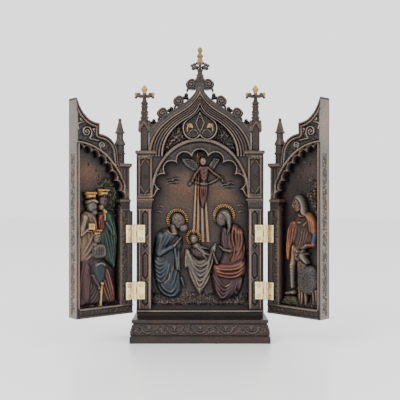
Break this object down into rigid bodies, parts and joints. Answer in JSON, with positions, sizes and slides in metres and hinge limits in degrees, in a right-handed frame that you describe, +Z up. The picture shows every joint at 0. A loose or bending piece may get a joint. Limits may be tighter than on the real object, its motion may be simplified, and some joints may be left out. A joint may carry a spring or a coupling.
{
  "type": "triptych altarpiece",
  "caption": "Gothic folding triptych with a nativity relief, crocketed ogee gable, moulded plinth and two carved wings on brass butt hinges.",
  "frame": {"origin": "middle of the plinth's underside", "axes": "+Z up, -Y towards the front of the centre panel, +X to the viewer's right"},
  "size_m": [0.201, 0.0739, 0.2394],
  "materials": {
    "cold_cast_bronze": "bronze-powder resin with dark patina, brushed copper highlights and thin colour washes",
    "hinge_brass": "bright rolled brass",
    "screw_brass": "dulled brass"
  },
  "bodies": {
    "base": {"plinth": "cold_cast_bronze", "centre_panel": "cold_cast_bronze", "left_upper_hinge_panel_leaf": "hinge_brass", "left_upper_hinge_panel_screw_upper": "screw_brass", "left_upper_hinge_panel_screw_lower": "screw_brass", "left_upper_hinge_pin": "hinge_brass", "left_lower_hinge_panel_leaf": "hinge_brass", "left_lower_hinge_panel_screw_upper": "screw_brass", "left_lower_hinge_panel_screw_lower": "screw_brass", "left_lower_hinge_pin": "hinge_brass", "right_upper_hinge_panel_leaf": "hinge_brass", "right_upper_hinge_panel_screw_upper": "screw_brass", "right_upper_hinge_panel_screw_lower": "screw_brass", "right_upper_hinge_pin": "hinge_brass", "right_lower_hinge_panel_leaf": "hinge_brass", "right_lower_hinge_panel_screw_upper": "screw_brass", "right_lower_hinge_panel_screw_lower": "screw_brass", "right_lower_hinge_pin": "hinge_brass"},
    "left_wing": {"left_wing": "cold_cast_bronze", "left_upper_hinge_wing_leaf": "hinge_brass", "left_upper_hinge_wing_screw_upper": "screw_brass", "left_upper_hinge_wing_screw_lower": "screw_brass", "left_lower_hinge_wing_leaf": "hinge_brass", "left_lower_hinge_wing_screw_upper": "screw_brass", "left_lower_hinge_wing_screw_lower": "screw_brass"},
    "right_wing": {"right_wing": "cold_cast_bronze", "right_upper_hinge_wing_leaf": "hinge_brass", "right_upper_hinge_wing_screw_upper": "screw_brass", "right_upper_hinge_wing_screw_lower": "screw_brass", "right_lower_hinge_wing_leaf": "hinge_brass", "right_lower_hinge_wing_screw_upper": "screw_brass", "right_lower_hinge_wing_screw_lower": "screw_brass"}
  },
  "joints": [
    {"name": "left_hinge", "type": "hinge", "parent": "base", "child": "left_wing", "pos_m": [-0.0525, -0.0141, 0.0639], "axis": [0, 0, 1], "range_deg": [-40, 140]},
    {"name": "right_hinge", "type": "hinge", "parent": "base", "child": "right_wing", "pos_m": [0.0525, -0.0141, 0.0639], "axis": [0, 0, -1], "range_deg": [-45, 135]}
  ]
}
